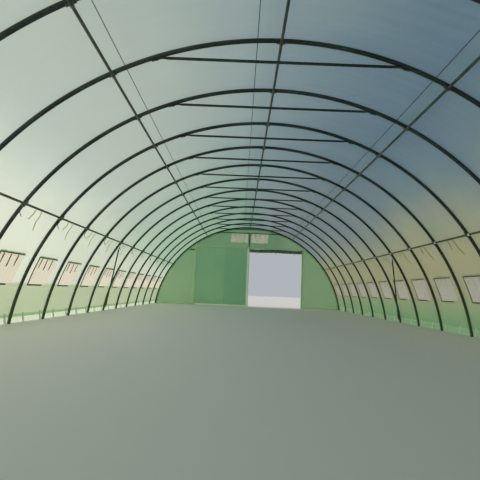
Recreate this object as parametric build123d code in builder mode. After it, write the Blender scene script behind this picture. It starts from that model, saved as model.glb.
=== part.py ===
from build123d import *
from math import asin, atan2, cos, degrees, radians, sin, sqrt
import os

# A film greenhouse on round steel hoops. The ground is the plane Z = 0, the tunnel runs along Y,
# and the origin lies on the ground in the middle of the tunnel. All sizes are in millimetres.

# Hoops: one arc of round tube each, whose centre lies below the ground
BAYS = 16
BAY = 1000.0
HOOP_RADIUS = 3075.0
ARC_DROP = 450.0
HOOP_TUBE = 40.0

# Tubes that join the hoops; the angles are measured up from the level at the arc's centre
PURLIN_TUBE = 25.0
SHOULDER_ANGLE = 62.7
RAIL_ANGLE = 35.2
TIE_TUBE = 25.0
TIE_DROP = 192.0

# Wind braces: this many bays from the near end, from the side rail at one hoop to the foot of the next
BRACE_BAYS = 9
BRACE_TUBE = 25.0
BRACE_TOP_ANGLE = 33.3
BRACE_FOOT = 60.0

# Strap clamps that hold the purlins under the hoops
CLAMP_STRIP = 2.5
CLAMP_WIDTH = 30.0
CLAMP_EAR = 24.0

# Line wires between the hoops and the film
WIRE = 6.0
RIDGE_WIRE_SIDE = 200.0
SHOULDER_WIRE_ANGLE = 65.0

# Cover film, windows and their nets
FILM = 3.0
HEM_HEIGHT = 75.0
WINDOW_LOW_ANGLE = 17.6
WINDOW_HIGH_ANGLE = 24.3
WINDOW_WIDTH = 560.0
NET = 2.0
WINDOW_ROLL = 30.0
WINDOW_ROLL_LENGTH = 580.0
WINDOW_ROLL_RISE = 18.0

# End walls: a double doorway between two posts, with a centre post and two vents above it;
# the header lies this far under the hoop at the outer posts
SIDE_PANEL = 1272.0
HEADER_UNDER_HOOP = 90.0
POST_TUBE = 32.0
DOOR_ROLL = 120.0
VENT_WIDTH = 560.0
VENT_SIDE = 60.0
VENT_RISE = 170.0
VENT_UNDER_FILM = 157.0

# Ground ties along the skirt, at these shares of each bay
GROUND_TIE_SHARES = (0.38, 0.91)
GROUND_TIE = 8.0
GROUND_TIE_WIDTH = 26.0
GROUND_TIE_HEIGHT = 120.0
GROUND_TIE_LEAN = 12.0

# Clearance between round faces that lie on each other
FIT = 0.3

# Worked out from the sizes above
END = BAYS * BAY / 2
HOOP_PLACES = [index * BAY - END for index in range(BAYS + 1)]
BAY_CENTRES = [place + BAY / 2 for place in HOOP_PLACES[:-1]]
HOOP_IN = HOOP_RADIUS - HOOP_TUBE / 2
HOOP_OUT = HOOP_RADIUS + HOOP_TUBE / 2
PURLIN_RADIUS = HOOP_IN - FIT - PURLIN_TUBE / 2
WIRE_RADIUS = HOOP_OUT + FIT + WIRE / 2
FILM_IN = HOOP_OUT + WIRE + 2 * FIT
FILM_OUT = FILM_IN + FILM
NET_IN = FILM_IN + (FILM - NET) / 2
WALL_INSIDE = END + HOOP_TUBE / 2 + FIT
WALL_OUTSIDE = WALL_INSIDE + FILM
HEM_ANGLE = degrees(asin((HEM_HEIGHT + ARC_DROP) / FILM_IN))
TIE_HEIGHT = HOOP_RADIUS - ARC_DROP - TIE_DROP
DOOR_HALF = sqrt(HOOP_RADIUS**2 - ARC_DROP**2) - SIDE_PANEL
POST_RISE = sqrt((HOOP_IN - FIT) ** 2 - DOOR_HALF**2)
HEADER_HEIGHT = POST_RISE - ARC_DROP - HEADER_UNDER_HOOP
ARC_CENTRE = (0, -ARC_DROP)
ARC_AXIS = Axis((0, 0, -ARC_DROP), (0, -1, 0))
SIDES = {"left": -1, "right": 1}
ENDS = {"near": -1, "far": 1}

os.makedirs("parts", exist_ok=True)


def save(shape, name):
    shape.label = name
    export_step(shape, f"parts/{name}.step")


def on_arc(radius, angle, side=1):
    """X and Z of the point at this radius and angle on the right (1) or left (-1) side."""
    return side * radius * cos(radians(angle)), radius * sin(radians(angle)) - ARC_DROP


def ring_sector(inside, outside, low, high, side):
    """The face between two radii and two angles of the tunnel's section, on one side."""
    start = low if side > 0 else 180 - high
    with BuildSketch() as sector:
        with BuildLine():
            inner = CenterArc(ARC_CENTRE, inside, start, high - low)
            outer = CenterArc(ARC_CENTRE, outside, start, high - low)
            Line(inner @ 0, outer @ 0)
            Line(inner @ 1, outer @ 1)
        make_face()
    return sector.sketch


def end_plane(turn, reach):
    """A plane across the tunnel at this distance from the middle, with X to the right as seen
    from inside and its normal pointing inwards."""
    return Plane(origin=(0, turn * reach, 0), x_dir=(turn, 0, 0), z_dir=(0, -turn, 0))


# Hoops: a tube of eight flats, bent to the arc and cut off level with the ground
with BuildPart() as hoop:
    with BuildSketch(Plane.XY.offset(-ARC_DROP)):
        with Locations((HOOP_RADIUS, 0)):
            RegularPolygon(HOOP_TUBE / 2, 8, major_radius=False, rotation=22.5)
    revolve(axis=ARC_AXIS, revolution_arc=180)
    split(bisect_by=Plane.XY, keep=Keep.TOP)
for number, place in enumerate(HOOP_PLACES, start=1):
    save(hoop.part.moved(Location((0, place, 0))), f"hoop_{number:02d}")

# Collar ties, also of eight flats, their ends cut to lie against the underside of the hoops
with BuildPart() as collar_tie:
    tie_rise = HOOP_RADIUS - TIE_DROP
    tie_reach = sqrt((HOOP_IN - FIT) ** 2 - tie_rise**2)
    with BuildSketch(Plane.YZ):
        with Locations((0, TIE_HEIGHT)):
            RegularPolygon(TIE_TUBE / 2, 8, major_radius=False, rotation=22.5)
    extrude(amount=HOOP_RADIUS / 2, both=True)
    for side in SIDES.values():
        under_hoop = Plane(origin=(side * tie_reach, 0, TIE_HEIGHT), z_dir=(side * tie_reach, 0, tie_rise))
        split(bisect_by=under_hoop, keep=Keep.BOTTOM)
with BuildPart() as collar_ties:
    with Locations([(0, place, 0) for place in HOOP_PLACES]):
        add(collar_tie.part)
save(collar_ties.part, "collar_ties")

# Purlins on the inside of the hoops: the ridge, two at the shoulders and two side rails
PURLINS = {
    "ridge_purlin": on_arc(PURLIN_RADIUS, 90),
    "shoulder_purlin_left": on_arc(PURLIN_RADIUS, SHOULDER_ANGLE, -1),
    "shoulder_purlin_right": on_arc(PURLIN_RADIUS, SHOULDER_ANGLE),
    "side_rail_left": on_arc(PURLIN_RADIUS, RAIL_ANGLE, -1),
    "side_rail_right": on_arc(PURLIN_RADIUS, RAIL_ANGLE),
}
for name, (across, height) in PURLINS.items():
    with BuildPart() as purlin:
        with BuildSketch(Plane.XZ):
            with Locations((across, height)):
                Circle(PURLIN_TUBE / 2)
        extrude(amount=END + HOOP_TUBE / 2, both=True)
    save(purlin.part, name)

# Strap clamps: a strip bent round the purlin, with an ear on each side against the hoop
with BuildPart() as clamp:
    strap_in = PURLIN_TUBE / 2 + FIT
    strap_out = strap_in + CLAMP_STRIP
    ear_top = PURLIN_TUBE / 2
    with BuildSketch(Plane.XZ):
        with Locations((0, ear_top)):
            Rectangle(2 * strap_out, ear_top + strap_out, align=(Align.CENTER, Align.MAX))
            Rectangle(2 * (strap_out + CLAMP_EAR), CLAMP_STRIP, align=(Align.CENTER, Align.MAX))
            Rectangle(2 * strap_in, ear_top + strap_in, align=(Align.CENTER, Align.MAX), mode=Mode.SUBTRACT)
    extrude(amount=CLAMP_WIDTH / 2, both=True)
with BuildPart() as purlin_clamps:
    for across, height in PURLINS.values():
        tilt = degrees(atan2(across, height + ARC_DROP))
        with Locations([Location((across, place, height), (0, tilt, 0)) for place in HOOP_PLACES]):
            add(clamp.part)
save(purlin_clamps.part, "purlin_clamps")

# Wind braces
with BuildPart() as wind_braces:
    brace_foot_angle = degrees(asin((BRACE_FOOT + ARC_DROP) / PURLIN_RADIUS))
    for side in SIDES.values():
        top_across, top_height = on_arc(PURLIN_RADIUS, BRACE_TOP_ANGLE, side)
        foot_across, foot_height = on_arc(PURLIN_RADIUS, brace_foot_angle, side)
        top = Vector(top_across, HOOP_PLACES[BRACE_BAYS], top_height)
        foot = Vector(foot_across, HOOP_PLACES[BRACE_BAYS + 1], foot_height)
        with BuildSketch(Plane(origin=top, z_dir=foot - top)):
            Circle(BRACE_TUBE / 2)
        extrude(amount=(foot - top).length)
save(wind_braces.part, "wind_braces")

# Line wires
with BuildPart() as line_wires:
    ridge_wire_angle = 90 + degrees(asin(RIDGE_WIRE_SIDE / WIRE_RADIUS))
    wire_points = [
        on_arc(WIRE_RADIUS, ridge_wire_angle),
        on_arc(WIRE_RADIUS, SHOULDER_WIRE_ANGLE, -1),
        on_arc(WIRE_RADIUS, SHOULDER_WIRE_ANGLE),
    ]
    with BuildSketch(Plane.XZ):
        with Locations(wire_points):
            Circle(WIRE / 2)
    extrude(amount=END + HOOP_TUBE / 2, both=True)
save(line_wires.part, "line_wires")

# Cover film: on each side a skirt up to the hem, a side with the windows and half the roof
for name, side in SIDES.items():
    with BuildPart() as skirt:
        with BuildSketch(Plane.XZ):
            add(ring_sector(FILM_IN, FILM_OUT, 0, HEM_ANGLE, side))
        extrude(amount=WALL_OUTSIDE, both=True)
        split(bisect_by=Plane.XY, keep=Keep.TOP)
    save(skirt.part, f"cover_skirt_{name}")

    with BuildPart() as cover_side:
        with BuildSketch(Plane.XZ):
            add(ring_sector(FILM_IN, FILM_OUT, HEM_ANGLE, RAIL_ANGLE, side))
        extrude(amount=WALL_OUTSIDE, both=True)
        with BuildSketch(*[Plane.XZ.offset(-centre) for centre in BAY_CENTRES]):
            add(ring_sector(HOOP_OUT, FILM_OUT + FILM, WINDOW_LOW_ANGLE, WINDOW_HIGH_ANGLE, side))
        extrude(amount=WINDOW_WIDTH / 2, both=True, mode=Mode.SUBTRACT)
    save(cover_side.part, f"cover_side_{name}")

    with BuildPart() as roof:
        with BuildSketch(Plane.XZ):
            add(ring_sector(FILM_IN, FILM_OUT, RAIL_ANGLE, 90, side))
        extrude(amount=WALL_OUTSIDE, both=True)
    save(roof.part, f"cover_roof_{name}")

    with BuildPart() as window_nets:
        with BuildSketch(*[Plane.XZ.offset(-centre) for centre in BAY_CENTRES]):
            add(ring_sector(NET_IN, NET_IN + NET, WINDOW_LOW_ANGLE, WINDOW_HIGH_ANGLE, side))
        extrude(amount=WINDOW_WIDTH / 2, both=True)
    save(window_nets.part, f"window_nets_{name}")

    with BuildPart() as window_rolls:
        roll_radius = FILM_OUT + FIT + WINDOW_ROLL / 2
        roll_angle = WINDOW_HIGH_ANGLE + degrees(WINDOW_ROLL_RISE / FILM_OUT)
        with BuildSketch(*[Plane.XZ.offset(-centre) for centre in BAY_CENTRES]):
            with Locations(on_arc(roll_radius, roll_angle, side)):
                RegularPolygon(WINDOW_ROLL / 2, 8, rotation=roll_angle)
        extrude(amount=WINDOW_ROLL_LENGTH / 2, both=True)
    save(window_rolls.part, f"window_rolls_{name}")

# Ground ties: short slanted strips against the foot of the skirt
with BuildPart() as ground_tie:
    tie_chord = sqrt(FILM_IN**2 - (GROUND_TIE_HEIGHT / 2) ** 2) - FIT
    chord_angle = degrees(asin((GROUND_TIE_HEIGHT / 2 + ARC_DROP) / tie_chord))
    across, height = on_arc(tie_chord, chord_angle)
    tie_lean = GROUND_TIE_HEIGHT * sin(radians(GROUND_TIE_LEAN))
    face = Plane(origin=(across, 0, height), x_dir=(0, -1, 0), z_dir=(-across, 0, -height - ARC_DROP))
    with BuildSketch(face):
        with BuildLine():
            Polyline(
                (-GROUND_TIE_WIDTH / 2, -GROUND_TIE_HEIGHT),
                (GROUND_TIE_WIDTH / 2, -GROUND_TIE_HEIGHT),
                (GROUND_TIE_WIDTH / 2 + tie_lean, GROUND_TIE_HEIGHT / 2),
                (-GROUND_TIE_WIDTH / 2 + tie_lean, GROUND_TIE_HEIGHT / 2),
                close=True,
            )
        make_face()
    extrude(amount=GROUND_TIE)
    split(bisect_by=Plane.XY, keep=Keep.TOP)
    mirror(about=Plane.YZ)
with BuildPart() as ground_ties:
    with Locations(
        [(0, place + share * BAY, 0) for place in HOOP_PLACES[:-1] for share in GROUND_TIE_SHARES]
    ):
        add(ground_tie.part)
save(ground_ties.part, "ground_ties")

# End walls, the same at both ends when seen from inside
vent_across = VENT_SIDE + VENT_WIDTH / 2
vent_low = HEADER_HEIGHT + VENT_RISE
vent_top = sqrt(FILM_IN**2 - (VENT_SIDE + VENT_WIDTH) ** 2) - ARC_DROP - VENT_UNDER_FILM
vent_height = vent_top - vent_low
vent_middle = (vent_top + vent_low) / 2
for end, turn in ENDS.items():
    wall_plane = end_plane(turn, WALL_INSIDE)
    for name, side in SIDES.items():
        with BuildPart() as wall:
            with BuildSketch(wall_plane):
                with Locations((0, -ARC_DROP)):
                    Circle(FILM_IN - FIT)
                with Locations((side * (DOOR_HALF + FILM_IN) / 2, FILM_IN / 2)):
                    Rectangle(FILM_IN - DOOR_HALF, FILM_IN, mode=Mode.INTERSECT)
            extrude(amount=-FILM)
        save(wall.part, f"{end}_wall_{name}")

    with BuildPart() as wall_top:
        with BuildSketch(wall_plane):
            with Locations((0, -ARC_DROP)):
                Circle(FILM_IN - FIT)
            with Locations((0, HEADER_HEIGHT + FILM_IN / 2)):
                Rectangle(2 * DOOR_HALF, FILM_IN, mode=Mode.INTERSECT)
            with Locations((-vent_across, vent_middle), (vent_across, vent_middle)):
                Rectangle(VENT_WIDTH, vent_height, mode=Mode.SUBTRACT)
        extrude(amount=-FILM)
    save(wall_top.part, f"{end}_wall_top")

    with BuildPart() as vent_nets:
        with BuildSketch(wall_plane.offset(-(FILM - NET) / 2)):
            with Locations((-vent_across, vent_middle), (vent_across, vent_middle)):
                Rectangle(VENT_WIDTH, vent_height)
        extrude(amount=-NET)
    save(vent_nets.part, f"{end}_vent_nets")

    with BuildPart() as door_closed:
        with BuildSketch(wall_plane):
            with Locations((-DOOR_HALF / 2, HEADER_HEIGHT / 2)):
                Rectangle(DOOR_HALF, HEADER_HEIGHT)
        extrude(amount=-FILM)
    save(door_closed.part, f"{end}_door_closed")

    with BuildPart() as door_rolled:
        roll_start = POST_TUBE / 2 + FIT
        roll_end = DOOR_HALF - POST_TUBE / 2 - FIT
        roll_height = HEADER_HEIGHT - POST_TUBE - FIT - DOOR_ROLL / 2
        with BuildSketch(Plane.YZ.offset(turn * (roll_start + roll_end) / 2)):
            with Locations((turn * WALL_INSIDE, roll_height)):
                Circle(DOOR_ROLL / 2)
        extrude(amount=(roll_end - roll_start) / 2, both=True)
    save(door_rolled.part, f"{end}_door_rolled")

    with BuildPart() as door_frame:
        frame_place = turn * (END + (HOOP_TUBE - POST_TUBE) / 2)
        with BuildSketch(Plane.XY):
            with Locations((-DOOR_HALF, frame_place), (DOOR_HALF, frame_place)):
                Circle(POST_TUBE / 2)
        extrude(amount=HOOP_RADIUS)
        for side in SIDES.values():
            under_hoop = Plane(
                origin=(side * DOOR_HALF, 0, POST_RISE - ARC_DROP),
                z_dir=(side * DOOR_HALF, 0, POST_RISE),
            )
            split(bisect_by=under_hoop, keep=Keep.BOTTOM)
        with BuildSketch(Plane.XY):
            with Locations((0, frame_place)):
                Circle(POST_TUBE / 2)
        extrude(amount=TIE_HEIGHT - TIE_TUBE / 2 - FIT)
        with BuildSketch(Plane.YZ):
            with Locations((frame_place, HEADER_HEIGHT - POST_TUBE / 2)):
                Circle(POST_TUBE / 2)
        extrude(amount=DOOR_HALF, both=True)
    save(door_frame.part, f"{end}_door_frame")
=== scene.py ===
from math import asin, atan2, cos, degrees, exp, pi, radians, sin, sqrt

import bmesh
import bpy
from mathutils import Matrix, Vector, noise


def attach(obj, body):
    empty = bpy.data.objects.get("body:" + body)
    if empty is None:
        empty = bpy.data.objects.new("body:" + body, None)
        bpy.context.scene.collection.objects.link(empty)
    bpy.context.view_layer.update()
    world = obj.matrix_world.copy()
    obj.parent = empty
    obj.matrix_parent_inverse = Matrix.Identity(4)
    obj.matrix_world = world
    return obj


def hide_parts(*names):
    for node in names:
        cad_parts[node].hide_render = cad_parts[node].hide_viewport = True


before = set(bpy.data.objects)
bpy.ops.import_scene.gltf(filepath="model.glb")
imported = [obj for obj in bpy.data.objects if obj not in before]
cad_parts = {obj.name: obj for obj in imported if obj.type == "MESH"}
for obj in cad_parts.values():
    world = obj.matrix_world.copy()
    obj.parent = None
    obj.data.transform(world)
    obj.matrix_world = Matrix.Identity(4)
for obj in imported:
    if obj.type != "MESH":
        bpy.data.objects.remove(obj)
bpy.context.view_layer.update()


# Hoops
# Each is one round steel tube, bent to an arc whose centre lies below the ground and
# set in it at both ends. The zinc has gone dull and dark.
BAYS = 16
BAY = 1.0
END = BAYS * BAY / 2
ARC_DROP = 0.45
HOOP_RADIUS = 3.075
HOOP_TUBE = 0.040
HOOP_PLACES = [index * BAY - END for index in range(BAYS + 1)]
BAY_CENTRES = [place + BAY / 2 for place in HOOP_PLACES[:-1]]
ABOVE_TUNNEL = 9.0


class Field:
    """A value or colour that changes over a surface; sums on it are written as in Python."""

    def __init__(self, finish, socket):
        self.finish, self.socket = finish, socket

    def math(self, operation, *others):
        sockets = {0: self, **{place + 1: other for place, other in enumerate(others)}}
        return self.finish.add("ShaderNodeMath", {"operation": operation}, sockets)

    def __add__(self, other):
        return self.math("ADD", other)

    def __mul__(self, other):
        return self.math("MULTIPLY", other)

    def __sub__(self, other):
        return self.math("SUBTRACT", other)

    __radd__, __rmul__ = __add__, __mul__

    def between(self, low, high):
        """0 below low, 1 above high, with a soft step from one to the other."""
        sockets = {0: self, 1: low, 2: high, 3: 0.0, 4: 1.0}
        return self.finish.add("ShaderNodeMapRange", {"interpolation_type": "SMOOTHSTEP"}, sockets)

    def band(self, place, width, edge):
        """1 within half the width of a place, with soft edges."""
        return (self - place).math("ABSOLUTE").between(width / 2 + edge, width / 2)

    def waves(self, spacing):
        """From -1 to 1 and back over this spacing."""
        return (self * (2 * pi / spacing)).math("SINE")

    def lines(self, spacing, low, high):
        """0 on lines this far apart, 1 between them."""
        return (self * (pi / spacing)).math("SINE").math("ABSOLUTE").between(low, high)


class Finish:
    """A material and the ways to add to its nodes. Colours are red, green and blue."""

    def __init__(self, name):
        self.material = bpy.data.materials.new(name)
        self.material.use_nodes = True
        self.tree = self.material.node_tree
        self.tree.nodes.clear()

    def add(self, kind, settings=None, sockets=None, output=0):
        node = self.tree.nodes.new(kind)
        for setting, value in (settings or {}).items():
            if setting == "stops":
                stops = node.color_ramp.elements
                while len(stops) < len(value):
                    stops.new(1.0)
                for stop, (place, shade) in zip(stops, value):
                    stop.position, stop.color = place, (*shade, 1.0)
            else:
                setattr(node, setting, value)
        for socket, value in (sockets or {}).items():
            if isinstance(value, Field):
                self.tree.links.new(value.socket, node.inputs[socket])
            elif isinstance(value, tuple):
                node.inputs[socket].default_value = (*value, 1.0)
            else:
                node.inputs[socket].default_value = value
        return Field(self, node.outputs[output])

    def place(self):
        """Across, along and up: the place on the tunnel, in metres."""
        spot = self.add("ShaderNodeTexCoord", output="Object")
        return [self.add("ShaderNodeSeparateXYZ", sockets={0: spot}, output=axis) for axis in range(3)]

    def vector(self, x, y, z):
        return self.add("ShaderNodeCombineXYZ", sockets={0: x, 1: y, 2: z})

    def cloud(self, where, scale, detail=3.0, roughness=0.5):
        """Soft random patches from 0 to 1."""
        sockets = {"Vector": where, "Scale": scale, "Detail": detail, "Roughness": roughness}
        return self.add("ShaderNodeTexNoise", sockets=sockets)

    def mix(self, share, first, second):
        """The first colour where share is 0, the second where it is 1."""
        return self.add("ShaderNodeMix", {"data_type": "RGBA"}, {0: share, 6: first, 7: second}, output=2)

    def bump(self, height, distance, strength):
        sockets = {"Height": height, "Distance": distance, "Strength": strength}
        return self.add("ShaderNodeBump", sockets=sockets)

    def body(self, **sockets):
        sockets = {name.replace("_", " "): value for name, value in sockets.items()}
        return self.add("ShaderNodeBsdfPrincipled", sockets=sockets)

    def light_through(self, shade):
        return self.add("ShaderNodeBsdfTranslucent", sockets={"Color": shade})

    def opening(self, shade):
        return self.add("ShaderNodeBsdfTransparent", sockets={"Color": shade})

    def blend(self, share, first, second):
        """Two shaders, the second one showing by share."""
        return self.add("ShaderNodeMixShader", sockets={0: share, 1: first, 2: second})

    def pierced(self, share, skin, glow, clear, opening):
        """A sheet of skin with light through it, full of fine holes."""
        sheet = self.blend(share, skin, glow)
        return self.done(self.blend(clear, sheet, opening))

    def done(self, shader):
        output = self.tree.nodes.new("ShaderNodeOutputMaterial")
        self.tree.links.new(shader.socket, output.inputs["Surface"])
        return self.material


def start():
    """Leaves nothing selected, so that the next operator touches only the new piece."""
    bpy.ops.object.select_all(action="DESELECT")


def choose(piece):
    start()
    piece.select_set(True)
    bpy.context.view_layer.objects.active = piece


def settle(name):
    """Puts the new piece's place into its mesh and names it."""
    piece = bpy.context.object
    piece.name = piece.data.name = name
    bpy.ops.object.transform_apply(location=True, rotation=True, scale=True)
    return piece


def select_all():
    bpy.ops.mesh.select_all(action="SELECT")


def edit(kind="VERT"):
    bpy.ops.object.mode_set(mode="EDIT")
    bpy.ops.mesh.select_mode(type=kind)
    select_all()


def extrude(*move):
    """In edit mode, extrudes what is selected by this much across, along and up."""
    bpy.ops.mesh.extrude_region_move(TRANSFORM_OT_translate={"value": move})


def leave():
    bpy.ops.object.mode_set(mode="OBJECT")


def pick(kind, test):
    """In edit mode, selects only the verts, edges or faces that pass the test."""
    mesh = bpy.context.object.data
    bpy.ops.mesh.select_all(action="DESELECT")
    work = bmesh.from_edit_mesh(mesh)
    for item in getattr(work, kind):
        if test(item):
            item.select_set(True)
    work.select_flush_mode()
    bmesh.update_edit_mesh(mesh)


def apply_modifier(piece, kind, **settings):
    modifier = piece.modifiers.new(kind.lower(), kind)
    for setting, value in settings.items():
        setattr(modifier, setting, value)
    bpy.context.view_layer.objects.active = piece
    bpy.ops.object.modifier_apply(modifier=modifier.name)


def solidify(piece, thickness):
    apply_modifier(piece, "SOLIDIFY", thickness=thickness, offset=0)


def soften(piece, angle=40):
    """Smooth shading, with creases left where faces meet at more than this angle."""
    choose(piece)
    bpy.ops.object.shade_smooth_by_angle(angle=radians(angle))


def twin(piece, name, move):
    """A copy of the piece with its own mesh, moved by a matrix."""
    other = piece.copy()
    other.data = piece.data.copy()
    other.name = other.data.name = name
    other.data.transform(move)
    bpy.context.scene.collection.objects.link(other)
    return other


def at_hoops(piece, name):
    """The piece at the first hoop and its copies at the others."""
    return [piece] + [
        twin(piece, f"{name}_{number:02d}", Matrix.Translation((0, place - HOOP_PLACES[0], 0)))
        for number, place in enumerate(HOOP_PLACES[1:], start=2)
    ]


def join(pieces, name):
    start()
    for piece in pieces:
        piece.select_set(True)
    bpy.context.view_layer.objects.active = pieces[0]
    bpy.ops.object.join()
    pieces[0].name = pieces[0].data.name = name
    return pieces[0]


def fit(piece, material, slot, *nodes):
    """The finished piece gets its finish, rides on the tunnel and stands for these nodes."""
    piece.data.materials.clear()
    piece.data.materials.append(material)
    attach(piece, "root")
    if nodes:
        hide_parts(*nodes)
    return piece


def dull_zinc(name, dark, light, roughness, moss=0.0, metallic=0.5, grey_above=ABOVE_TUNNEL):
    """Weathered zinc on steel tube: blurred spangle, patches, and some green near the ground."""
    finish = Finish(name)
    across, along, up = finish.place()
    spot = finish.vector(across, along, up)
    spangle = finish.cloud(spot, 55.0, 2.0)
    patches = finish.cloud(spot, 2.6, 4.0)
    share = (patches * 0.6 + spangle * 0.4).between(0.35, 0.7)
    shade = finish.mix(share, dark, light)
    grown = (up + patches * 0.4).between(1.0, 0.2) * moss
    shade = finish.mix(grown, shade, (0.085, 0.14, 0.06))
    shade = finish.mix(up.between(grey_above, grey_above + 0.03), shade, (0.05, 0.07, 0.055))
    rough = roughness + 0.16 * patches
    grain = finish.bump(spangle, 0.0004, 0.5)
    shader = finish.body(Base_Color=shade, Metallic=metallic, Roughness=rough, Normal=grain)
    return finish.done(shader)


hoop_finish = dull_zinc("hoop_zinc", (0.03, 0.042, 0.038), (0.08, 0.1, 0.09), 0.38, 0.7)

start()
bpy.ops.mesh.primitive_circle_add(
    vertices=16, radius=HOOP_TUBE / 2, location=(HOOP_RADIUS, HOOP_PLACES[0], -ARC_DROP)
)
hoop = settle("hoop_tube_01")
edit()
bpy.ops.mesh.spin(steps=120, angle=pi, center=(0, HOOP_PLACES[0], -ARC_DROP), axis=(0, 1, 0))
select_all()
bpy.ops.mesh.bisect(plane_co=(0, 0, 0), plane_no=(0, 0, 1), use_fill=True, clear_inner=True)
select_all()
bpy.ops.mesh.normals_make_consistent(inside=False)
leave()
soften(hoop)
for number, piece in enumerate(at_hoops(hoop, "hoop_tube"), start=1):
    fit(piece, hoop_finish, "galvanised_tube", f"hoop_{number:02d}")


# Collar ties
# A thinner tube lies level under the top of each hoop; its ends are pressed flat,
# bent to the slope of the hoop and bolted up to its underside.
TIE_TUBE = 0.025
TIE_HEIGHT = 2.433
TIE_ROUND = 0.950
TIE_BEND = 1.004
TIE_TIP = 1.085
TIE_FLAT = 0.0035
HOOP_IN = HOOP_RADIUS - HOOP_TUBE / 2
ACROSS = (0, pi / 2, 0)
PRESSED_THIN, PRESSED_WIDE = 0.24, 1.35
BOLT_DEPTH = 0.0115


def under_hoop(across):
    """Height of the underside of a hoop at this place across the tunnel."""
    return sqrt(HOOP_IN**2 - across**2) - ARC_DROP


def tube(name, middle, length, radius, turn=(0, 0, 0), sides=20):
    start()
    bpy.ops.mesh.primitive_cylinder_add(
        vertices=sides, radius=radius, depth=length, location=middle, rotation=turn
    )
    return settle(name)


def bolt(name, place, axis, radius=0.0075, height=0.006):
    """A hexagon head with a washer under it, on its axis."""
    turn = Vector((0, 0, 1)).rotation_difference(Vector(axis)).to_euler()
    head = tube(name, place, height, radius, turn, 6)
    edit("FACE")
    side = Vector(axis).normalized()
    pick("faces", lambda face: face.normal.dot(side) < -0.9)
    extrude(0, 0, 0)
    bpy.ops.transform.resize(value=(1.5, 1.5, 1.5))
    extrude(*(side * -0.0015))
    leave()
    return head


first_place = (0, HOOP_PLACES[0], TIE_HEIGHT)
tie = tube("collar_tie_tube", first_place, 2 * TIE_ROUND, TIE_TUBE / 2, ACROSS, 16)
edit("FACE")
for side in (-1, 1):
    pick("faces", lambda face: face.normal.x * side > 0.9)
    bend_height = under_hoop(TIE_BEND) - TIE_FLAT
    extrude(side * (TIE_BEND - TIE_ROUND), 0, bend_height - TIE_HEIGHT)
    bpy.ops.transform.resize(value=(1, PRESSED_WIDE, PRESSED_THIN))
    tip_height = under_hoop(TIE_TIP) - TIE_FLAT
    extrude(side * (TIE_TIP - TIE_BEND), 0, tip_height - bend_height)
leave()
tie_bolts = []
for side in (-1, 1):
    spot = (TIE_BEND + TIE_TIP) / 2
    down = Vector((-side * spot, 0, -under_hoop(spot) - ARC_DROP)).normalized()
    foot = Vector((side * spot, HOOP_PLACES[0], under_hoop(spot))) + down * BOLT_DEPTH
    tie_bolts.append(bolt("tie_bolt", foot, down))
tie = join([tie] + tie_bolts, "collar_tie_tube")
soften(tie)
ties = join(at_hoops(tie, "tie"), "collar_tie_tubes")
fit(ties, hoop_finish, "galvanised_tube", "collar_ties")


# Purlins and side rails
# Five straight tubes run the whole length inside the hoops: one at the
# ridge, one at each shoulder and one at each side. Their cut ends are open.
PURLIN_TUBE = 0.025
TUBE_WALL = 0.002
TUBE_BORE = 0.06
PURLIN_RADIUS = 3.0422
RAIL_ANGLE = 35.2
SIDES = ("right", 1), ("left", -1)
PURLIN_ANGLES = {
    "ridge_purlin": 90.0,
    "shoulder_purlin_left": 117.3,
    "shoulder_purlin_right": 62.7,
    "side_rail_left": 180 - RAIL_ANGLE,
    "side_rail_right": RAIL_ANGLE,
}


def on_arc(radius, angle):
    """Across and up of the point at this radius and angle, counted up from the right side."""
    return radius * cos(radians(angle)), radius * sin(radians(angle)) - ARC_DROP


rail_finish = dull_zinc("rail_zinc", (0.045, 0.055, 0.045), (0.16, 0.175, 0.14), 0.3)

for node, angle in PURLIN_ANGLES.items():
    across, up = on_arc(PURLIN_RADIUS, angle)
    length = 2 * END + HOOP_TUBE
    purlin = tube(f"{node}_tube", (across, 0, up), length, PURLIN_TUBE / 2, (pi / 2, 0, 0), 18)
    edit("FACE")
    for way in (-1, 1):
        pick("faces", lambda face: face.normal.y * way > 0.9)
        bpy.ops.mesh.inset(thickness=TUBE_WALL)
        extrude(0, -way * TUBE_BORE, 0)
    leave()
    soften(purlin)
    fit(purlin, rail_finish, "galvanised_tube", node)


# Strap clamps
# A zinc strip is bent round the purlin at each hoop, and its two ears are
# screwed up to the underside of the hoop.
CLAMP_STRIP = 0.0025
CLAMP_WIDTH = 0.030
CLAMP_EAR = 0.024
CLEARANCE = 0.0003
CLAMP_BEND = PURLIN_TUBE / 2 + CLEARANCE + CLAMP_STRIP / 2


def cross_line(name, length, across, height=0.0):
    """A line along the tunnel, in edit mode, ready to be extruded into a strip."""
    start()
    bpy.ops.mesh.primitive_plane_add(size=length, location=(0, 0, height))
    line = settle(name)
    edit()
    pick("verts", lambda corner: corner.co.x > 0)
    bpy.ops.mesh.delete(type="VERT")
    select_all()
    bpy.ops.transform.translate(value=(length / 2 + across, 0, 0))
    return line


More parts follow.
